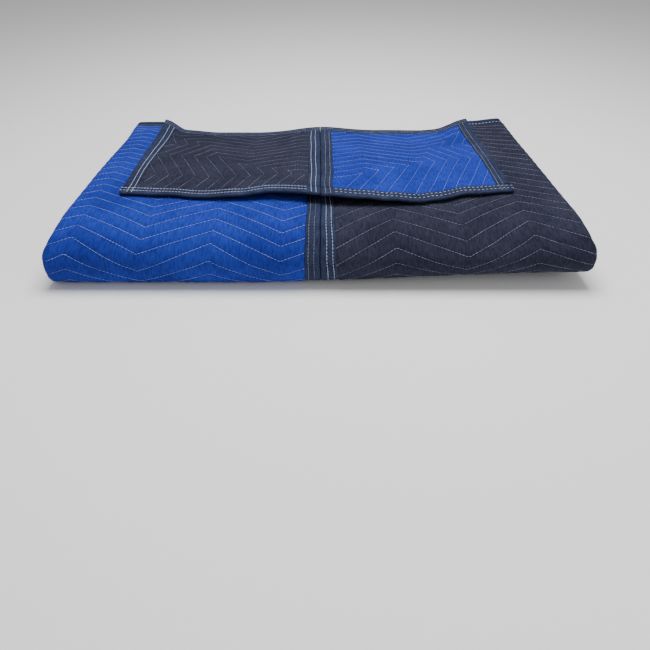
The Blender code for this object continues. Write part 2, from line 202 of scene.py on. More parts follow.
# Margins: of what is made finer where it shows, round folds, and of stitches off a binding
SEEN_MARGIN = 0.03
FOLD_MARGIN = 0.02
APEX_MARGIN = 0.01
FLAP_MARGIN = 0.004
STITCH_MARGIN = 0.0015

# Thread and stitch sizes
QUILT_STITCH = 0.0058
QUILT_PITCH = 0.0062
QUILT_THREAD = 0.00033
TAPE_STITCH = 0.0056
TAPE_PITCH = 0.0062
TAPE_THREAD = 0.00052

# A stitch's rings: place along it, radius and height, as shares of its length and thickness
STITCH_RINGS = ((-0.5, 0.45, -1.0), (-0.3, 0.95, -0.1), (0.3, 0.95, -0.1), (0.5, 0.45, -1.0))


def smooth(low, high, value):
    """0 below low, 1 above high, and a soft step between."""
    part = min(1.0, max(0.0, (value - low) / (high - low)))
    return part * part * (3 - 2 * part)


def between(table, value):
    """The soft value of a short (place, size) table."""
    if value <= table[0][0]:
        return table[0][1]
    for (low, first), (high, second) in zip(table, table[1:]):
        if value <= high:
            return first + (second - first) * smooth(low, high, value)
    return table[-1][1]


def straight(table, value):
    """The value of a short table with straight slopes between its places."""
    places = [place for place, _ in table]
    sizes = [size for _, size in table]
    return float(np.interp(value, places, sizes))


def zigzag(value, apex, half_period):
    """A wave of straight slopes: 1 at the apex, -1 half a period on."""
    part = ((value - apex) / half_period) % 2.0
    return 1 - 2 * part if part < 1 else 2 * part - 3


def ripple(x, y, size, seed):
    """Soft noise between -1 and 1 over lengths of about the size."""
    return noise.noise(Vector((x / size, y / size, seed)))


def arc(centre, radii, angles):
    """Points of part of an ellipse, between two angles in degrees."""
    steps = 64
    start, stop = angles
    points = []
    for step in range(1, steps + 1):
        angle = math.radians(start + (stop - start) * step / steps)
        y = centre[0] + radii[0] * math.cos(angle)
        z = centre[1] + radii[1] * math.sin(angle)
        points.append((y, z))
    return points


class FoldPath:
    """The middle line of one layer, seen from the side, from the top hem to the inner hem."""

    def __init__(self):
        layer = [LOWEST_PLY + HALF_LAYER + 2 * PLY_PITCH * index for index in range(4)]
        bottom, third, second, top = layer
        front = FRONT + HALF_LAYER + PUFFED / 2
        inner_front = front + 2 * HALF_LAYER + PLAIN + INNER_FOLD_GAP
        back_fold = BACK - BACK_FOLD_INSET - HALF_LAYER - PLAIN / 2
        turn = PLY_PITCH
        points = [(BACK, top), (front + FRONT_UPPER_REACH, top)]
        point = FRONT_POINT_HEIGHT
        upper = (front + FRONT_UPPER_REACH, point)
        lower = (front + FRONT_LOWER_REACH, point)
        behind = (back_fold - turn, bottom + turn)
        ahead = (inner_front + turn, third + turn)
        stretches = (
            arc(upper, (FRONT_UPPER_REACH, top - point), (90, 180)),
            arc(lower, (FRONT_LOWER_REACH, point - bottom), (180, 270)),
            [(back_fold - turn, bottom)],
            arc(behind, (turn, turn), (-90, 90)),
            [(inner_front + turn, third)],
            arc(ahead, (turn, turn), (270, 90)),
            [(BACK - INNER_HEM_INSET, second)],
        )
        ends = [0, 1]
        for stretch in stretches:
            points += stretch
            ends.append(len(points) - 1)
        self.points = points
        self.lengths = [0.0]
        for (y1, z1), (y2, z2) in zip(points, points[1:]):
            self.lengths.append(self.lengths[-1] + math.hypot(y2 - y1, z2 - z1))
        self.marks = [self.lengths[end] for end in ends]
        self.total = self.lengths[-1]

    def at(self, length):
        """(y, z) of the line and of its normal, which points to the side of the gate ply."""
        index = bisect.bisect_right(self.lengths, length) - 1
        index = min(max(index, 0), len(self.points) - 2)
        (y1, z1), (y2, z2) = self.points[index], self.points[index + 1]
        span = self.lengths[index + 1] - self.lengths[index]
        part = (length - self.lengths[index]) / span
        first = self.turned(index)
        second = self.turned(index + 1)
        normal_y = first[0] + (second[0] - first[0]) * part
        normal_z = first[1] + (second[1] - first[1]) * part
        size = math.hypot(normal_y, normal_z)
        return y1 + (y2 - y1) * part, z1 + (z2 - z1) * part, normal_y / size, normal_z / size

    def turned(self, index):
        """The normal at one point of the line."""
        before = max(index - 1, 0)
        after = min(index + 1, len(self.points) - 1)
        if index in (0, 1) or index == len(self.points) - 2:
            before, after = (0, 1) if index < 2 else (index, index + 1)
        way_y = self.points[after][0] - self.points[before][0]
        way_z = self.points[after][1] - self.points[before][1]
        size = math.hypot(way_y, way_z)
        return way_z / size, -way_y / size


PATH = FoldPath()
TOP_END, FRONT_END = PATH.marks[1], PATH.marks[3]
BACK_FOLD_START, BACK_FOLD_END = PATH.marks[4:6]
FLAT_HALF = WIDTH / 2 - CENTRE_EDGE - HALF_LAYER - PLAIN / 2
SIDE_TURN = math.pi * HALF_LAYER
ACROSS = FLAT_HALF + SIDE_TURN + (WIDTH / 2 - SEAM_EDGE - HALF_LAYER - PLAIN / 2)


def draw(x):
    """How far the back hem lies forward of its full depth here."""
    return between(BACK_DRAW[-1 if x < 0 else 1], abs(x))


def sag(x, y):
    """How far the top lies under its full height here."""
    side = -1 if x < 0 else 1
    return between(BACK_SAG[side], abs(x)) * smooth(SAG_STARTS, BACK - draw(x), y)


def uneven(x, y):
    """The small rise and fall of soft layers that lie on each other."""
    return 0.0011 * ripple(x, y, 0.16, 3.1) + 0.0005 * ripple(x, y, 0.055, 8.4) - 0.0006


def centre_sway(x, y, z):
    """The edges that meet in the middle wander a little to one side, both together."""
    return CENTRE_SWAY * ripple(y, 3 * z, 0.075, 2.2) * (1 - smooth(0.02, 0.20, abs(x)))


def settled(x, y, z):
    """Where a point of the even stack lies in the real one."""
    side = -1 if x < 0 else 1
    spread = (1 - smooth(*SPLAY_FROM, y)) * (1 - smooth(*SPLAY_UNDER[side], z))
    ear = smooth(EAR_FROM, BACK, y) * smooth(*EAR_HEIGHT, z) * smooth(*EAR_AWAY, abs(x))
    x *= 1 + SPLAY[side] * spread + EAR_SPREAD[side] * ear
    share = max(0.0, (z - LOWEST_PLY) / (HEIGHT - LOWEST_PLY))
    moved = y - draw(x) * smooth(DRAW_STARTS, BACK, y) * share
    low = max(0.0, 1 - z / CORNER_LIFT_UNDER)
    outward = smooth(CORNER_LIFT_FROM[0], WIDTH / 2, x)
    forward = 1 - smooth(FRONT, CORNER_LIFT_FROM[1], y)
    lift = CORNER_LIFT * outward * forward * low
    moved -= SLUMP * (1 - smooth(*SLUMP_FROM, y)) * (1 - smooth(*SLUMP_UNDER, z))
    hem = smooth(HEM_FROM, BACK, y) * share
    moved += hem * HEM_SWAY * ripple(x, z, 0.11, 5.7)
    height = z - sag(x, moved) * share + lift + uneven(x, moved) * share
    return Vector((x + centre_sway(x, y, z), moved, height))


def panel_point(side, across, along):
    """A point of one panel's middle: across from its centre edge, along from its top hem."""
    if across <= FLAT_HALF:
        x, away = CENTRE_EDGE + across, HALF_LAYER
    elif across <= FLAT_HALF + SIDE_TURN:
        angle = (across - FLAT_HALF) / HALF_LAYER
        x = CENTRE_EDGE + FLAT_HALF + HALF_LAYER * math.sin(angle)
        away = HALF_LAYER * math.cos(angle)
    else:
        x, away = SEAM_EDGE + ACROSS - across, -HALF_LAYER
    y, z, normal_y, normal_z = PATH.at(along)
    return settled(side * x, y + normal_y * away, z + normal_z * away)


def square_to(place, first, second):
    """The direction square to a surface at one place on it."""
    step = 0.0006
    way_one = place(first + step, second) - place(first - step, second)
    way_two = place(first, second + step) - place(first, second - step)
    return way_one.cross(way_two).normalized()


def even_steps(start, stop, pitch):
    """Places from start, left out, to stop, at about the pitch."""
    count = max(1, round(abs(stop - start) / pitch))
    return [start + (stop - start) * step / count for step in range(1, count + 1)]


def pillow(part):
    """How full the quilting is, 0 on a line and 1 midway between two lines."""
    return 1 - abs(2 * part - 1) ** 2.4


def line_shift(side, across, along):
    """How far a quilting line lies along from its base place."""
    away = CENTRE_EDGE + across
    wave = zigzag(away, ZIGZAG_FIRST_APEX[side], ZIGZAG_HALF_PERIOD)
    drift = LINE_DRIFT[side] * (min(away, WIDTH / 2) - DRIFT_CENTRE)
    ends = min(along - BINDING_WIDTH, PATH.total - BINDING_WIDTH - along)
    rise = between(ZIGZAG_RISE[side], along)
    return (rise * wave - drift) * max(0.0, min(1.0, ends / ZIGZAG_FADE))


def line_places(side):
    """Places along of the quilting lines: listed ones on the front fold, and even ones elsewhere."""
    places = list(FRONT_LINES[side])
    while places[0] > LINE_SPACING:
        places.insert(0, places[0] - LINE_SPACING)
    while places[-1] + LINE_SPACING < PATH.total - BINDING_WIDTH:
        places.append(places[-1] + LINE_SPACING)
    return places


def apexes(side, start, stop):
    """Places across of the zigzag's apexes between two places."""
    places = []
    place = ZIGZAG_FIRST_APEX[side] - CENTRE_EDGE
    while place < stop:
        if place > start:
            places.append(place)
        place += ZIGZAG_HALF_PERIOD
    return places


def panel_rows(side):
    """(base place along, thickness, whether a line is stitched) of each row of a panel's grid."""
    rows = [(0.0, BOUND_EDGE, False), (BINDING_WIDTH, BOUND_EDGE, False)]
    seen_end = FRONT_END + SEEN_MARGIN
    places = line_places(side)
    for place, after in zip(places, places[1:] + [PATH.total]):
        seen = place < seen_end
        puffed = PUFFED - 0.0004 if seen else HIDDEN_PUFF
        for part in SEEN_PARTS if seen else HIDDEN_PARTS:
            along = place + part * (after - place)
            if BINDING_WIDTH + 0.003 < along < PATH.total - BINDING_WIDTH - 0.003:
                rows.append((along, STITCHED + (puffed - STITCHED) * pillow(part), part == 0.0))
    rows += [(PATH.total - BINDING_WIDTH, BOUND_EDGE, False), (PATH.total, BOUND_EDGE, False)]
    return rows


def panel_columns(side):
    """Places across of the columns of a panel's grid, with one at each apex of the zigzag."""
    inner = (BINDING_WIDTH + APEX_MARGIN, ACROSS - BINDING_WIDTH - APEX_MARGIN)
    turns = [BINDING_WIDTH, FLAT_HALF, FLAT_HALF + SIDE_TURN, ACROSS - BINDING_WIDTH]
    stops = sorted(turns + apexes(side, *inner))
    columns = [0.0, BINDING_WIDTH]
    for start, stop in zip(stops, stops[1:]):
        middle = (start + stop) / 2
        pitch = FLAT_GRID if middle < FLAT_HALF else SIDE_GRID
        if middle > FLAT_HALF + SIDE_TURN:
            pitch = HIDDEN_GRID
        columns += even_steps(start, stop, pitch)
    columns.append(ACROSS)
    return columns


def add_object(name, data):
    """A new object in the scene."""
    obj = bpy.data.objects.new(name, data)
    bpy.context.scene.collection.objects.link(obj)
    return obj


def grid_object(name, points, places, materials):
    """A sheet of squares through rows of points, with its flat places as a map in metres."""
    along = len(points)
    across = len(points[0])
    vertices = [tuple(point) for row in points for point in row]
    faces = []
    for row in range(along - 1):
        for column in range(across - 1):
            corner = row * across + column
            faces.append((corner, corner + 1, corner + 1 + across, corner + across))
    mesh = bpy.data.meshes.new(name)
    mesh.from_pydata(vertices, [], faces)
    flat = [place for row in places for place in row]
    layer = mesh.uv_layers.new(name="cloth")
    corners = np.empty(len(mesh.loops), np.int32)
    mesh.loops.foreach_get("vertex_index", corners)
    layer.data.foreach_set("uv", np.array(flat, np.float32)[corners].ravel())
    mesh.shade_smooth()
    for material in materials:
        mesh.materials.append(material)
    return add_object(name, mesh)


def give_thickness(obj, full, shares=None):
    """Thicken a sheet, half to each side of it. With shares it gets its reverse's material too."""
    shell = obj.modifiers.new("Thickness", "SOLIDIFY")
    shell.thickness = full
    shell.offset = 0.0
    if shares:
        shell.material_offset = 1
        group = obj.vertex_groups.new(name="thickness")
        for index, share in enumerate(shares):
            group.add([index], share, "REPLACE")
        shell.vertex_group = "thickness"
    plain_mesh(obj)


def plain_mesh(obj):
    """Turn an object and its modifiers into a plain mesh."""
    graph = bpy.context.evaluated_depsgraph_get()
    made = bpy.data.meshes.new_from_object(obj.evaluated_get(graph))
    old = obj.data
    obj.modifiers.clear()
    obj.vertex_groups.clear()
    made.name = old.name
    obj.data = made
    bpy.data.meshes.remove(old)


def mark_seams(obj, values):
    """Keep how near each point is to a stitched line, for the puckers in the finish and the painted
    shade along the lines.
    """
    attribute = obj.data.attributes.new("seam", "FLOAT", "POINT")
    attribute.data.foreach_set("value", values)


def quilted_sheet(name, side, table, full, face, reverse):
    """A quilted sheet from rows of (point, flat place, thickness, nearness to a line)."""
    points = [[cell[0] for cell in row] for row in table]
    places = [[cell[1] for cell in row] for row in table]
    cells = [cell for row in table for cell in row]
    shown = (face, reverse) if side < 0 else (reverse, face)
    obj = grid_object(name, points, places, shown)
    mark_seams(obj, [cell[3] for cell in cells])
    give_thickness(obj, full, [cell[2] / full for cell in cells])
    return obj


def make_panel(side, face, reverse):
    """One quilted half of the blanket, and the stitched lines on it."""
    rows = panel_rows(side)
    columns = panel_columns(side)
    table = []
    for base, thick, _ in rows:
        # Nearness to a stitched line: puckers, and painted shade in the finish
        seam = max(0.0, 1 - (thick - STITCHED) / SEAM_FADE)
        line = []
        for across in columns:
            along = base + line_shift(side, across, base)
            bound = across <= BINDING_WIDTH + 1e-6 or across >= ACROSS - BINDING_WIDTH - 1e-6
            here = BOUND_EDGE if bound else calmed(thick, across)
            line.append((panel_point(side, across, along), (across, along), here, seam))
        table.append(line)
    obj = quilted_sheet(f"quilted_panel_{LABELS[side]}", side, table, PUFFED, face, reverse)
    return obj, [base for base, _, stitched in rows if stitched]


def flap_outer(side, forward):
    """How far from the centre line a flap reaches, at a share of its depth from the back."""
    outer_back, outer_front = FLAP_OUTER[side]
    return outer_back + (outer_front - outer_back) * forward


def under_flap(side, point):
    """Whether a flap lies over this point of the top."""
    away = abs(point.x)
    outer = flap_outer(side, smooth(0.0, 1.0, (FLAP_BACK - point.y) / (FLAP_BACK + 0.15)))
    front = between(FLAP_FRONT[side], away / outer)
    on_top = point.z > HEIGHT - 0.05
    return away < outer - FLAP_MARGIN and point.y > front + FLAP_MARGIN and on_top


def calmed(thick, across):
    """Thickness with less rise and fall where the cloth is drawn round the side."""
    level = SIDE_CALM * smooth(FLAT_HALF - 0.03, FLAT_HALF + 0.005, across)
    return thick + (SIDE_THICK - thick) * level


def parted(places, least):
    """Runs of at least so many places, parted where a place is None."""
    runs = [[]]
    for place in places:
        if place is None:
            runs.append([])
        else:
            runs[-1].append(place)
    return [run for run in runs if len(run) >= least]


def quilt_runs(side, lines):
    """Runs of (point, normal) along the stitched lines that show on a panel."""
    surface = partial(panel_point, side)
    runs = []
    last = FLAT_HALF + SIDE_TURN + FOLD_MARGIN
    places = [BINDING_WIDTH + STITCH_MARGIN] + even_steps(BINDING_WIDTH, last, LINE_POINTS)[1:]
    places = sorted(places + apexes(side, BINDING_WIDTH + FLAP_MARGIN, last))
    for base in lines:
        run = []
        for across in places:
            along = base + line_shift(side, across, base)
            point = surface(across, along)
            hidden = along < TOP_END and under_flap(side, point)
            behind = BACK_FOLD_START - SEEN_MARGIN < along < BACK_FOLD_END + FOLD_MARGIN
            if along > FRONT_END and across < FLAT_HALF - SEEN_MARGIN and not behind:
                hidden = True
            if hidden:
                run.append(None)
                continue
            normal = square_to(surface, across, along) * -side
            lifted = calmed(STITCHED, across) / 2 + QUILT_THREAD * 0.6
            run.append((point + normal * lifted, normal))
        runs += parted(run, 3)
    return runs


def deck(side, away, y):
    """Height of the top of the puffed cloth under a flap."""
    return HEIGHT - sag(side * away, y) + uneven(side * away, y)


def flap_size(side):
    """Width and depth of one flap laid flat."""
    wide = (FLAP_OUTER[side][0] + FLAP_OUTER[side][1]) / 2 - CENTRE_EDGE
    return wide, FLAP_BACK - FLAP_FRONT[side][0][1]


def flap_point(side, share, forward):
    """A point of one flap: shares of its width, from the centre, and of its depth, from the back."""
    away = CENTRE_EDGE + (flap_outer(side, forward) - CENTRE_EDGE) * share
    back = FLAP_BACK - draw(side * away)
    front = between(FLAP_FRONT[side], share)
    y = back + (front - back) * forward
    step = 0.004
    slope_x = (deck(side, away + step, y) - deck(side, away - step, y)) / (2 * step)
    slope_y = (deck(side, away, y + step) - deck(side, away, y - step)) / (2 * step)
    clear = FLAP_SEAT + (PUFFED + FLAP_PUFFED) / 2
    height = deck(side, away, y) - PUFFED / 2 + clear * math.sqrt(1 + slope_x ** 2 + slope_y ** 2)
    lift = between(FLAP_LIFT[side], share) * smooth(0.55, 1.0, forward)
    curl = FLAP_CORNER_CURL[side] * smooth(0.8, 1.0, share) * (1 - smooth(0.0, 0.35, forward))
    wave = 0.0009 * max(0.0, ripple(away, y, 0.05, 21.0 + side)) * smooth(0.75, 1.0, forward)
    x = side * away
    return Vector((x + centre_sway(x, y, HEIGHT), y, height + lift + curl + wave))


def flap_line(side, share, forward):
    """The number of the quilting line here: whole on a line, and a fraction between two."""
    wide, long = flap_size(side)
    from_centre = share * wide
    from_front = (1 - forward) * long
    along = from_centre - straight(FLAP_SWING_ALONG[side], from_front)
    across = from_front - straight(FLAP_SWING_ACROSS[side], from_centre)
    return max(along, across) / FLAP_LINE_SPACING[side]


def within(edge, margin, share, forward):
    """Whether a place lies inside the binding of a flap, by more than a margin."""
    places = zip(edge, (share, forward))
    return all(rim + margin < place < 1 - rim - margin for rim, place in places)


def make_flap(side, face, reverse):
    """One small bound piece that lies on the top."""
    wide, long = flap_size(side)
    edge = (BINDING_WIDTH / wide, BINDING_WIDTH / long)
    shares = [0.0, edge[0]] + even_steps(edge[0], 1 - edge[0], FLAP_GRID / wide) + [1.0]
    forwards = [0.0, edge[1]] + even_steps(edge[1], 1 - edge[1], FLAP_GRID / long) + [1.0]
    table = []
    for forward in forwards:
        line = []
        for share in shares:
            full = pillow(flap_line(side, share, forward) % 1.0)
            thick = BOUND_EDGE
            if within(edge, 1e-6, share, forward):
                thick = FLAP_STITCHED + (FLAP_PUFFED - FLAP_STITCHED) * full
            flat = (share * wide, forward * long)
            # The last value is the nearness to a stitched line: puckers, and painted shade in the
            # finish
            line.append((flap_point(side, share, forward), flat, thick, max(0.0, 1 - full / 0.5)))
        table.append(line)
    return quilted_sheet(f"quilted_flap_{LABELS[side]}", side, table, FLAP_PUFFED, face, reverse)


def flap_runs(side):
    """Runs of (point, normal) along the stitched lines of a flap, where the line number is whole."""
    wide, long = flap_size(side)
    edge = (BINDING_WIDTH / wide, BINDING_WIDTH / long)
    surface = partial(flap_point, side)
    runs = []
    lifted = FLAP_STITCHED / 2 + QUILT_THREAD * 0.5
    last = int((wide + 0.05) / FLAP_LINE_SPACING[side]) + 1
    for number in range(last + 1):
        base = number * FLAP_LINE_SPACING[side]
        ways = ([], [])
        for step in range(FLAP_LINE_POINTS + 1):
            forward = 1 - edge[1] - 0.004 - (1 - 2 * edge[1] - 0.008) * step / FLAP_LINE_POINTS
            share = (base + straight(FLAP_SWING_ALONG[side], (1 - forward) * long)) / wide
            ways[0].append((share, forward))
            share = edge[0] + 0.004 + (1 - 2 * edge[0] - 0.008) * step / FLAP_LINE_POINTS
            forward = 1 - (base + straight(FLAP_SWING_ACROSS[side], share * wide)) / long
            ways[1].append((share, forward))
        for way in ways:
            run = []
            for share, forward in way:
                shown = within(edge, 0.002, share, forward)
                if not shown or flap_line(side, share, forward) >= number + 0.03:
                    run.append(None)
                    continue
                normal = square_to(surface, share, forward) * -side
                if normal.z < 0:
                    normal = -normal
                run.append((surface(share, forward) + normal * lifted, normal))
            runs += parted(run, 4)
    return runs


def tape_profile(rows):
    """(distance in from the folded edge, rise off the cloth's middle) across half a binding."""
    first, second = rows
    return (
        (BINDING_WIDTH, 0.0019),
        (BINDING_WIDTH - 0.0007, 0.0024),
        ((BINDING_WIDTH + second) / 2, 0.0026),
        (second + 0.0010, 0.0023),
        (second, TAPE_SEWN_RISE),
        (second - 0.0010, 0.0023),
        ((first + second) / 2, TAPE_FREE_RISE),
        (first + 0.0010, 0.0023),
        (first, TAPE_SEWN_RISE),
        (first - 0.0010, 0.0024),
        (first * 0.6, 0.0029),
        (0.0020, TAPE_FREE_RISE),
        (0.0002, 0.0024),
        (-0.0006, 0.0013),
        (-0.0008, 0.0),
    )


def lean_share(inward):
    """How much of a tape's lean is taken up so far in from its folded edge."""
    return smooth(0.0, 0.016, inward)


def bind(name, surface, edge_place, length, rows, material, upper, lean):
    """Fold a tape over one edge of a sheet, and give the runs of its stitches.

    edge_place(t, inward) gives the two places on the sheet, t of the way along the edge and so
    far in from it. upper is the side of the sheet that shows, 1 or -1 times its normal.
    lean tells how far the tape's inner half wanders, by distance along the edge.
    """
    steps = max(8, round(length / TAPE_GRID))
    profile = tape_profile(rows)
    under = tuple((inward, -rise) for inward, rise in profile[-2::-1])
    points = []
    places = []
    seams = []
    runs = {row: [] for row in rows}
    seed = sum(ord(letter) for letter in name) * 0.37
    for step in range(steps + 1):
        t = step / steps
        sway = 0.0007 * ripple(t * length, 0.0, 0.06, seed)
        leaning = straight(lean, t * length)
        line = []
        flat = []
        measured = 0.0
        for inward, rise in profile + under:
            shifted = inward + sway * smooth(0.002, 0.02, inward) + leaning * lean_share(inward)
            place = edge_place(t, shifted)
            normal = square_to(surface, *place) * upper
            pucker = 0.00022 * ripple(t * length, inward, 0.009, seed + 4)
            pucker *= smooth(0.0, 0.004, inward)
            height = rise + math.copysign(max(-0.0001, pucker), rise)
            line.append(surface(*place) + normal * height)
            flat.append((measured, t * length))
            measured += 0.0019
            # Nearness to a row of stitches: puckers, and painted shade in the finish
            seams.append(max(0.0, 1 - min(abs(inward - row) for row in rows) / 0.003))
        points.append(line)
        places.append(flat)
        for row in rows:
            place = edge_place(t, row + sway + leaning * lean_share(row))
            normal = square_to(surface, *place) * upper
            lifted = TAPE_SEWN_RISE + TAPE_THICK / 2 + TAPE_THREAD * 0.45
            runs[row].append((surface(*place) + normal * lifted, normal))
    obj = grid_object(name, points, places, (material,))
    mark_seams(obj, seams)
    give_thickness(obj, TAPE_THICK)
    return obj, [runs[row] for row in rows]


def stitch_shape(name, material):
    """One stitch along X, a unit long and a unit thick, its ends dipping into the cloth."""
    shape = bmesh.new()
    rings = []
    sides = 5
    for place, size, dip in STITCH_RINGS:
        ring = []
        for step in range(sides):
            angle = 2 * math.pi * step / sides
            corner = (place, size * math.cos(angle), dip + size * math.sin(angle))
            ring.append(shape.verts.new(corner))
        rings.append(ring)
    for first, second in zip(rings, rings[1:]):
        for step in range(sides):
            after = (step + 1) % sides
            shape.faces.new((first[step], second[step], second[after], first[after]))
    shape.faces.new(rings[0])
    shape.faces.new(rings[-1][::-1])
    bmesh.ops.recalc_face_normals(shape, faces=shape.faces)
    mesh = bpy.data.meshes.new(name)
    shape.to_mesh(mesh)
    shape.free()
    mesh.shade_smooth()
    mesh.materials.append(material)
    return add_object(name, mesh)


def add_sockets(tree, way, kinds):
    """Sockets on a node group's outside, from their labels and kinds."""
    for label, kind in kinds.items():
        tree.interface.new_socket(label, in_out=way, socket_type=f"NodeSocket{kind}")


def wire(tree, links):
    """Link nodes, from rows of (node, its output, next node, its input)."""
    for source, output, target, taken in links:
        tree.links.new(source.outputs[output], target.inputs[taken])


def stitch_tree():
    """Geometry nodes that lay stitches along runs of points, square to the cloth."""
    tree = bpy.data.node_groups.new("stitch_runs", "GeometryNodeTree")
    kinds = {"Geometry": "Geometry", "Stitch": "Object", "Thread": "Material"}
    kinds |= {"Pitch": "Float", "Length": "Float", "Thickness": "Float"}
    add_sockets(tree, "INPUT", kinds)
    add_sockets(tree, "OUTPUT", {"Geometry": "Geometry"})
    new = tree.nodes.new
    given = new("NodeGroupInput")
    result = new("NodeGroupOutput")
    to_curve = new("GeometryNodeMeshToCurve")
    resample = new("GeometryNodeResampleCurve")
    resample.mode = "LENGTH"
    tangent = new("GeometryNodeInputTangent")
    facing = new("GeometryNodeInputNamedAttribute")
    facing.data_type = "FLOAT_VECTOR"
    facing.inputs["Name"].default_value = "facing"
    turn = new("FunctionNodeAxesToRotation")
    turn.primary_axis = "X"
    turn.secondary_axis = "Z"
    info = new("GeometryNodeObjectInfo")
    chance = new("FunctionNodeRandomValue")
    chance.inputs[2].default_value = 0.88
    chance.inputs[3].default_value = 1.06
    chance.inputs["Seed"].default_value = 7
    stretch = new("ShaderNodeMath")
    stretch.operation = "MULTIPLY"
    sizes = new("ShaderNodeCombineXYZ")
    place = new("GeometryNodeInstanceOnPoints")
    realize = new("GeometryNodeRealizeInstances")
    paint = new("GeometryNodeSetMaterial")
    wire(tree, (
        (given, "Geometry", to_curve, "Mesh"),
        (to_curve, "Curve", resample, "Curve"),
        (given, "Pitch", resample, "Length"),
        (tangent, "Tangent", turn, "Primary Axis"),
        (facing, "Attribute", turn, "Secondary Axis"),
        (given, "Stitch", info, "Object"),
        (given, "Length", stretch, 0),
        (chance, 1, stretch, 1),
        (stretch, 0, sizes, "X"),
        (given, "Thickness", sizes, "Y"),
        (given, "Thickness", sizes, "Z"),
        (resample, "Curve", place, "Points"),
        (info, "Geometry", place, "Instance"),
        (turn, "Rotation", place, "Rotation"),
        (sizes, "Vector", place, "Scale"),
        (place, "Instances", realize, "Geometry"),
        (realize, "Geometry", paint, "Geometry"),
        (given, "Thread", paint, "Material"),
        (paint, "Geometry", result, "Geometry"),
    ))
    return tree


def sew(tree, stitch, name, runs, thread, sizes):
    """Lay stitches along the runs and turn them into one plain mesh."""
    pitch, length, thickness = sizes
    vertices = []
    edges = []
    facing = []
    for run in runs:
        start = len(vertices)
        for point, normal in run:
            vertices.append(tuple(point))
            facing += list(normal)
        edges += [(start + step, start + step + 1) for step in range(len(run) - 1)]
    mesh = bpy.data.meshes.new(name)
    mesh.from_pydata(vertices, edges, [])
    attribute = mesh.attributes.new("facing", "FLOAT_VECTOR", "POINT")
    attribute.data.foreach_set("vector", facing)
    obj = add_object(name, mesh)
    layer = obj.modifiers.new("Stitches", "NODES")
    layer.node_group = tree
    wanted = dict(Stitch=stitch, Pitch=pitch, Length=length, Thickness=thickness, Thread=thread)
    for item in tree.interface.items_tree:
        if item.in_out == "INPUT" and item.name in wanted:
            layer[item.identifier] = wanted[item.name]
    plain_mesh(obj)
    if "facing" in obj.data.attributes:
        obj.data.attributes.remove(obj.data.attributes["facing"])
    return obj


def fill(node, values):
    """Set inputs of a node by their labels."""
    for label, value in values.items():
        node.inputs[label].default_value = value


def shader_group(name, inputs, outputs):
    """A new group of shader nodes with named sockets."""
    group = bpy.data.node_groups.new(name, "ShaderNodeTree")
    add_sockets(group, "INPUT", inputs)
    add_sockets(group, "OUTPUT", outputs)
    return group, group.nodes.new("NodeGroupInput"), group.nodes.new("NodeGroupOutput")


def add_math(group, operation, first, second):
    """One math node. Each value is a socket or a number."""
    node = group.nodes.new("ShaderNodeMath")
    node.operation = operation
    for index, value in enumerate((first, second)):
        if hasattr(value, "is_output"):
            group.links.new(value, node.inputs[index])
        else:
            node.inputs[index].default_value = value
    return node.outputs[0]


def add_noise(group, vector, scale, detail, roughness=0.5):
    """One noise texture, as a value from 0 to 1."""
    node = group.nodes.new("ShaderNodeTexNoise")
    fill(node, {"Scale": scale, "Detail": detail, "Roughness": roughness})
    group.links.new(vector, node.inputs["Vector"])
    return node.outputs[0]


def add_streaks(group, vector, scale, detail, roughness=0.5):
    """Noise with its own scale each way, as a value from 0 to 1."""
    node = group.nodes.new("ShaderNodeMapping")
    node.inputs["Scale"].default_value = (*scale, 1.0)
    group.links.new(vector, node.inputs["Vector"])
    return add_noise(group, node.outputs["Vector"], 1.0, detail, roughness)


def weave_group():
    """Plain weave: warp and weft threads, with uneven yarn, as a height and a colour mask."""
    sockets = {"Vector": "Vector", "Threads": "Float"}
    outputs = {"Height": "Float", "Yarn": "Float"}
    group, given, result = shader_group("woven_threads", sockets, outputs)
    link = group.links.new
    flat = given.outputs["Vector"]
    wide = add_noise(group, flat, 300.0, 1.0)
    moved = group.nodes.new("ShaderNodeVectorMath")
    moved.operation = "SCALE"
    apart = group.nodes.new("ShaderNodeSeparateXYZ")
    wire(group, (
        (given, "Vector", moved, 0),
        (given, "Threads", moved, "Scale"),
        (moved, 0, apart, 0),
    ))
    warp = add_math(group, "SINE", apart.outputs["X"], 0.0)
    weft = add_math(group, "SINE", apart.outputs["Y"], 0.0)
    crossing = add_math(group, "MULTIPLY", warp, weft)
    slub_along = add_streaks(group, flat, (900.0, 40.0), 2.0)
    slub_across = add_streaks(group, flat, (40.0, 900.0), 2.0)
    slubs = add_math(group, "ADD", slub_along, slub_across)
    height = add_math(group, "MULTIPLY", crossing, 0.5)
    height = add_math(group, "ADD", height, add_math(group, "MULTIPLY", slubs, 0.35))
    height = add_math(group, "ADD", height, wide)
    link(height, result.inputs["Height"])
    link(add_math(group, "MULTIPLY", slubs, 0.5), result.inputs["Yarn"])
    return group


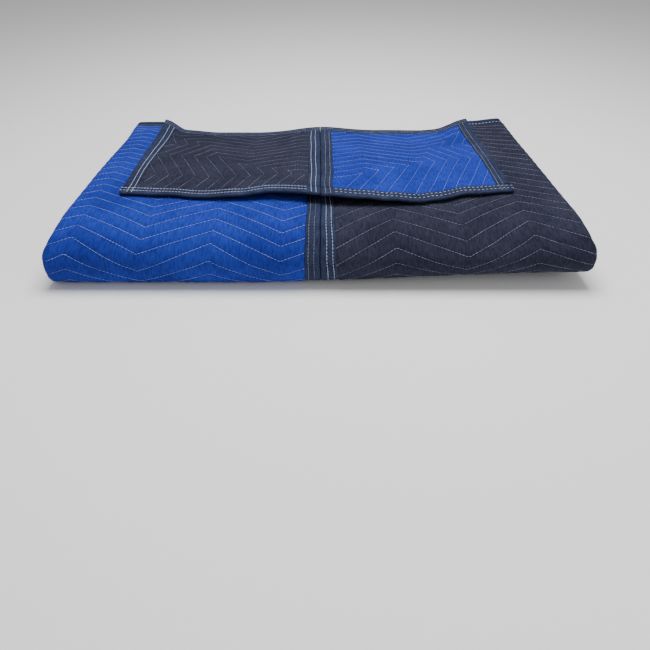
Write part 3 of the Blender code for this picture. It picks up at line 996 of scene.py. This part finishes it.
def worn_and_seam_shade_group():
    """Handling of soft cloth: broad mottling, faint streaks, rubbed high places and lint, with painted
    shade that darkens the cloth near its stitched lines.
    """
    sockets = {"Vector": "Vector", "Object": "Vector"}
    sockets |= {"Base": "Color", "Rubbed": "Color", "Deep": "Color"}
    sockets |= {"Yarn": "Float", "Seam": "Float"}
    outputs = {"Color": "Color", "Roughness": "Float"}
    group, given, result = shader_group("handled_cloth", sockets, outputs)
    link = group.links.new
    flat = given.outputs["Vector"]

    def mix(first, second, factor):
        node = group.nodes.new("ShaderNodeMix")
        node.data_type = "RGBA"
        link(first, node.inputs["A"])
        link(second, node.inputs["B"])
        link(factor, node.inputs["Factor"])
        return node.outputs["Result"]

    def masked(value, low, high):
        node = group.nodes.new("ShaderNodeMapRange")
        fill(node, {"From Min": low, "From Max": high})
        link(value, node.inputs["Value"])
        return node.outputs["Result"]

    def summed(parts):
        total = add_math(group, "MULTIPLY", *parts[0])
        for value, share in parts[1:]:
            total = add_math(group, "ADD", total, add_math(group, "MULTIPLY", value, share))
        return total

    broad = add_noise(group, given.outputs["Object"], 14.0, 3.0, 0.55)
    streaks = add_streaks(group, flat, (310.0, 85.0), 3.0, 0.6)
    fine = add_noise(group, flat, 520.0, 2.0)
    lint = add_streaks(group, flat, (900.0, 260.0), 1.0)
    rubbed = summed((
        (masked(streaks, 0.44, 0.66), 0.42),
        (masked(broad, 0.45, 0.75), 0.22),
        (masked(given.outputs["Yarn"], 0.5, 0.8), 0.25),
    ))
    deep = summed((
        (masked(broad, 0.55, 0.30), 0.35),
        (masked(streaks, 0.50, 0.32), 0.38),
        (masked(fine, 0.55, 0.35), 0.25),
        # Painted shade: the cloth turns towards the deep colour near the stitched lines
        (given.outputs["Seam"], 0.30),
    ))
    colour = mix(given.outputs["Base"], given.outputs["Rubbed"], rubbed)
    colour = mix(colour, given.outputs["Deep"], deep)
    specks = add_math(group, "MULTIPLY", masked(lint, 0.74, 0.80), 0.7)
    colour = mix(colour, given.outputs["Rubbed"], specks)
    link(colour, result.inputs["Color"])
    link(masked(broad, -0.9, 1.1), result.inputs["Roughness"])
    return group


def crease_group():
    """Small creases and the puckers that gather beside stitches, as a height."""
    sockets = {"Vector": "Vector", "Seam": "Float"}
    group, given, result = shader_group("creases", sockets, {"Height": "Float"})
    flat = given.outputs["Vector"]
    across = add_streaks(group, flat, (170.0, 60.0), 2.0)
    puckers = add_math(group, "MULTIPLY", across, given.outputs["Seam"])
    soft = add_streaks(group, flat, (60.0, 34.0), 4.0, 0.55)
    group.links.new(add_math(group, "ADD", puckers, soft), result.inputs["Height"])
    return group


def new_material(name):
    """A material, the call that adds nodes to it, and its shader."""
    material = bpy.data.materials.new(name)
    material.use_nodes = True
    nodes = material.node_tree.nodes
    return material, nodes.new, nodes["Principled BSDF"]


def cloth_material(name, colours, groups, threads, bumps, shine):
    """A matt cloth: weave, handling with painted shade near the stitched lines, and creases from the
    shared groups.

    colours are the base, the rubbed and the deep one. threads scales the weave, and shine is how
    much the cloth reflects. bumps gives the strength and the depth of the creases, then of the weave.
    """
    material, new, shader = new_material(name)
    flat = new("ShaderNodeUVMap")
    flat.uv_map = "cloth"
    seam = new("ShaderNodeAttribute")
    seam.attribute_name = "seam"
    place = new("ShaderNodeTexCoord")
    shared = []
    for group in groups:
        shared.append(new("ShaderNodeGroup"))
        shared[-1].node_tree = group
    threads_node, worn_and_shade_node, crease_node = shared
    fill(threads_node, {"Threads": threads})
    for label, colour in zip(("Base", "Rubbed", "Deep"), colours):
        fill(worn_and_shade_node, {label: (*colour, 1.0)})
    folds = new("ShaderNodeBump")
    fill(folds, {"Strength": bumps[0], "Distance": bumps[1]})
    fine = new("ShaderNodeBump")
    fill(fine, {"Strength": bumps[2], "Distance": bumps[3]})
    wire(material.node_tree, (
        (flat, "UV", threads_node, "Vector"),
        (flat, "UV", worn_and_shade_node, "Vector"),
        (flat, "UV", crease_node, "Vector"),
        (place, "Object", worn_and_shade_node, "Object"),
        (seam, "Fac", worn_and_shade_node, "Seam"),
        (seam, "Fac", crease_node, "Seam"),
        (threads_node, "Yarn", worn_and_shade_node, "Yarn"),
        (crease_node, "Height", folds, "Height"),
        (threads_node, "Height", fine, "Height"),
        (folds, "Normal", fine, "Normal"),
        (fine, "Normal", shader, "Normal"),
        (worn_and_shade_node, "Color", shader, "Base Color"),
        (worn_and_shade_node, "Roughness", shader, "Roughness"),
    ))
    fill(shader, {"Specular IOR Level": shine})
    return material


def thread_material(name, light, dark):
    """Twisted sewing thread, a little uneven along its length."""
    material, new, shader = new_material(name)
    place = new("ShaderNodeTexCoord")
    uneven_dye = new("ShaderNodeTexNoise")
    fill(uneven_dye, {"Scale": 60.0, "Detail": 3.0})
    twist = new("ShaderNodeTexNoise")
    fill(twist, {"Scale": 1800.0})
    ramp = new("ShaderNodeMapRange")
    fill(ramp, {"From Min": 0.35, "From Max": 0.65})
    mix = new("ShaderNodeMix")
    mix.data_type = "RGBA"
    fill(mix, {"A": (*dark, 1.0), "B": (*light, 1.0)})
    bump = new("ShaderNodeBump")
    fill(bump, {"Strength": 0.3, "Distance": 0.0002})
    wire(material.node_tree, (
        (place, "Object", uneven_dye, "Vector"),
        (place, "Object", twist, "Vector"),
        (uneven_dye, 0, ramp, "Value"),
        (ramp, "Result", mix, "Factor"),
        (mix, "Result", shader, "Base Color"),
        (twist, 0, bump, "Height"),
        (bump, "Normal", shader, "Normal"),
    ))
    fill(shader, {"Roughness": 0.7})
    return material


def bind_panel(side, material):
    """The tapes on the centre edge and on the two hems of one panel."""
    total = PATH.total
    surface = partial(panel_point, side)
    span = total - 2 * TAPE_END

    def over(t):
        return -SEWN_GAP + (ACROSS + 2 * SEWN_GAP) * t

    made = []
    strips = (
        ("centre", lambda t, inward: (inward, TAPE_END + span * t), span),
        ("top_hem", lambda t, inward: (over(t), inward), ACROSS),
        ("inner_hem", lambda t, inward: (over(t), total - inward), ACROSS),
    )
    for place, edge_place, length in strips:
        name = f"tape_{place}_{LABELS[side]}"
        lean = CENTRE_LEAN[side] if place == "centre" else NO_LEAN
        obj, runs = bind(name, surface, edge_place, length, TAPE_ROWS, material, -side, lean)
        seen = runs if place == "centre" else runs[1:]
        made.append((obj, seen, f"binding_{place}_{LABELS[side]}", length))
    return made


def run_on(side, surface, share, start, stop):
    """More points of a row of stitches, on over the tape of the next edge."""
    points = []
    for step in range(1, 7):
        forward = start + (stop - start) * step / 6
        normal = square_to(surface, share, forward) * -side
        lifted = TAPE_FREE_RISE + TAPE_THICK / 2 + TAPE_THREAD * 0.45
        points.append((surface(share, forward) + normal * lifted, normal))
    return points


def bind_flap(side, material):
    """The four tapes round a flap: two run its full width and the others butt on them."""
    wide, long = flap_size(side)
    surface = partial(flap_point, side)
    start = TAPE_END / long
    shoulder = BINDING_SHOULDER / wide
    span = long - 2 * BINDING_WIDTH

    def butted(t):
        return start + (1 - 2 * start) * t

    def over(t):
        return -shoulder + (1 + 2 * shoulder) * t

    made = []
    strips = (
        ("inner", lambda t, inward: (inward / wide, butted(t)), span, TAPE_ROWS),
        ("outer", lambda t, inward: (1 - inward / wide, butted(t)), span, OUTER_TAPE_ROWS),
        ("back", lambda t, inward: (over(t), inward / long), wide, TAPE_ROWS),
        ("front", lambda t, inward: (over(t), 1 - inward / long), wide, TAPE_ROWS),
    )
    for place, edge_place, length, rows in strips:
        name = f"tape_flap_{place}_{LABELS[side]}"
        lean = FLAP_LEAN[side] if place == "inner" else NO_LEAN
        obj, runs = bind(name, surface, edge_place, length, rows, material, -side, lean)
        if place in ("inner", "outer"):
            for row, run in zip(rows, runs):
                inward = row + lean[-1][1] * lean_share(row)
                share = inward / wide if place == "inner" else 1 - inward / wide
                run += run_on(side, surface, share, 1 - start, 1 - 0.005 / long)
        if place == "front":
            runs = [run[round(len(run) * BINDING_WIDTH / wide):] for run in runs]
        made.append((obj, runs, f"binding_flap_{place}_{LABELS[side]}", length))
    return made


def tape_threads(node, side, white, grey):
    """The thread of one tape's rows, and its stitch sizes: (pitch, length, thickness)."""
    if side > 0 and "flap_front" in node:
        return white, (TAPE_PITCH * 1.35, TAPE_STITCH, TAPE_THREAD * 0.85)
    if side > 0 and "top_hem" in node:
        return white, (TAPE_PITCH * 1.35, TAPE_STITCH * 1.05, TAPE_THREAD * 1.1)
    if "flap_back" in node or ("flap" in node) == (side > 0):
        return grey, (TAPE_PITCH, TAPE_STITCH, TAPE_THREAD * 0.9)
    return white, (TAPE_PITCH, TAPE_STITCH, TAPE_THREAD)


def light_area(name, place, aim, size, power):
    """One soft area light that points at a place."""
    data = bpy.data.lights.new(name, "AREA")
    data.shape = "RECTANGLE"
    data.size, data.size_y = size
    data.energy = power
    obj = add_object(name, data)
    obj.location = place
    way = Vector(aim) - Vector(place)
    obj.rotation_euler = way.to_track_quat("-Z", "Y").to_euler()


def make_stage():
    """A plain pale floor, the sky light, the lamps and the camera."""
    scene = bpy.context.scene
    floor_material, _, shader = new_material("pale_floor")
    fill(shader, {"Base Color": (0.93, 0.93, 0.93, 1.0), "Roughness": 0.9})
    shape = bmesh.new()
    bmesh.ops.create_grid(shape, x_segments=1, y_segments=1, size=30.0)
    mesh = bpy.data.meshes.new("floor")
    shape.to_mesh(mesh)
    shape.free()
    mesh.materials.append(floor_material)
    floor = add_object("floor", mesh)
    for vertex in mesh.vertices:
        vertex.co.z = -0.0005
    world = bpy.data.worlds.new("studio")
    world.use_nodes = True
    fill(world.node_tree.nodes["Background"], {"Color": (1.0, 1.0, 1.0, 1.0), "Strength": 0.40})
    scene.world = world
    light_area("key", (0.06, 0.06, 1.75), (0.06, -0.05, 0.05), (1.2, 0.8), 45.0)
    light_area("fill", (2.2, -1.5, 1.3), (0.2, -0.1, 0.05), (1.6, 1.2), 15.0)
    camera = bpy.data.cameras.new("camera")
    camera.lens = 28.06
    camera.sensor_width = 36.0
    camera.shift_x = 0.0069
    camera.shift_y = -0.25
    eye = add_object("camera", camera)
    eye.location = (0.0, -0.934, 0.617)
    eye.rotation_euler = (math.radians(90 - 28.28), 0.0, 0.0)
    scene.camera = eye


def main():
    """Dress the blanket and attach every piece to the root body."""
    groups = (weave_group(), worn_and_seam_shade_group(), crease_group())
    # Base, rubbed and deep colours of each cloth; the deep one is also the painted shade near stitched
    # lines
    blue = ((0.0170, 0.032, 0.28), (0.031, 0.063, 0.44), (0.007, 0.012, 0.13))
    navy = ((0.0230, 0.0247, 0.044), (0.048, 0.050, 0.081), (0.009, 0.010, 0.021))
    tape = ((0.0215, 0.029, 0.066), (0.047, 0.060, 0.115), (0.009, 0.012, 0.027))
    quilted = {"threads": 3600.0, "bumps": (0.5, 0.0016, 0.25, 0.0003), "shine": 0.03}
    bound = {"threads": 4200.0, "bumps": (0.5, 0.0010, 0.3, 0.0003), "shine": 0.05}
    cloth_blue = cloth_material("blue_cotton", blue, groups, **quilted)
    cloth_navy = cloth_material("navy_cotton", navy, groups, **quilted)
    tape_cloth = cloth_material("navy_tape", tape, groups, **bound)
    on_blue = thread_material("light_blue_thread", (0.38, 0.50, 0.86), (0.22, 0.32, 0.66))
    on_navy = thread_material("lilac_grey_thread", (0.30, 0.31, 0.41), (0.12, 0.13, 0.19))
    on_blue_flap = thread_material("soft_blue_thread", (0.34, 0.46, 0.86), (0.16, 0.25, 0.62))
    on_navy_flap = thread_material("slate_thread", (0.32, 0.33, 0.43), (0.09, 0.10, 0.15))
    white = thread_material("white_thread", (0.64, 0.70, 0.88), (0.42, 0.46, 0.62))
    grey = thread_material("grey_thread", (0.34, 0.36, 0.43), (0.13, 0.14, 0.19))
    tree = stitch_tree()
    stitch = stitch_shape("one_stitch", white)
    lay = partial(sew, tree, stitch)
    quilt_sizes = (QUILT_PITCH, QUILT_STITCH, QUILT_THREAD)

    for side, face, reverse, face_slot, flap_slot, thread, flap_thread in (
        (-1, cloth_blue, cloth_navy, "blue_cloth", "navy_cloth", on_blue, on_navy_flap),
        (1, cloth_navy, cloth_blue, "navy_cloth", "blue_cloth", on_navy, on_blue_flap),
    ):
        label = LABELS[side]
        panel, lines = make_panel(side, face, reverse)
        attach(panel, "root")
        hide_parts(f"panel_{label}")

        quilting = lay(f"quilting_{label}", quilt_runs(side, lines), thread, quilt_sizes)
        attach(quilting, "root")

        flap = make_flap(side, reverse, face)
        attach(flap, "root")
        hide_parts(f"flap_{label}")

        flap_quilting = lay(f"flap_quilting_{label}", flap_runs(side), flap_thread, quilt_sizes)
        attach(flap_quilting, "root")

        for obj, runs, node, length in bind_panel(side, tape_cloth) + bind_flap(side, tape_cloth):
            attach(obj, "root")
            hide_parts(node)
            row_looks = tape_threads(node, side, white, grey)
            rows = lay(node.replace("binding", "stitches"), runs, *row_looks)
            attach(rows, "root")
    bpy.data.objects.remove(stitch)


main()
make_stage()
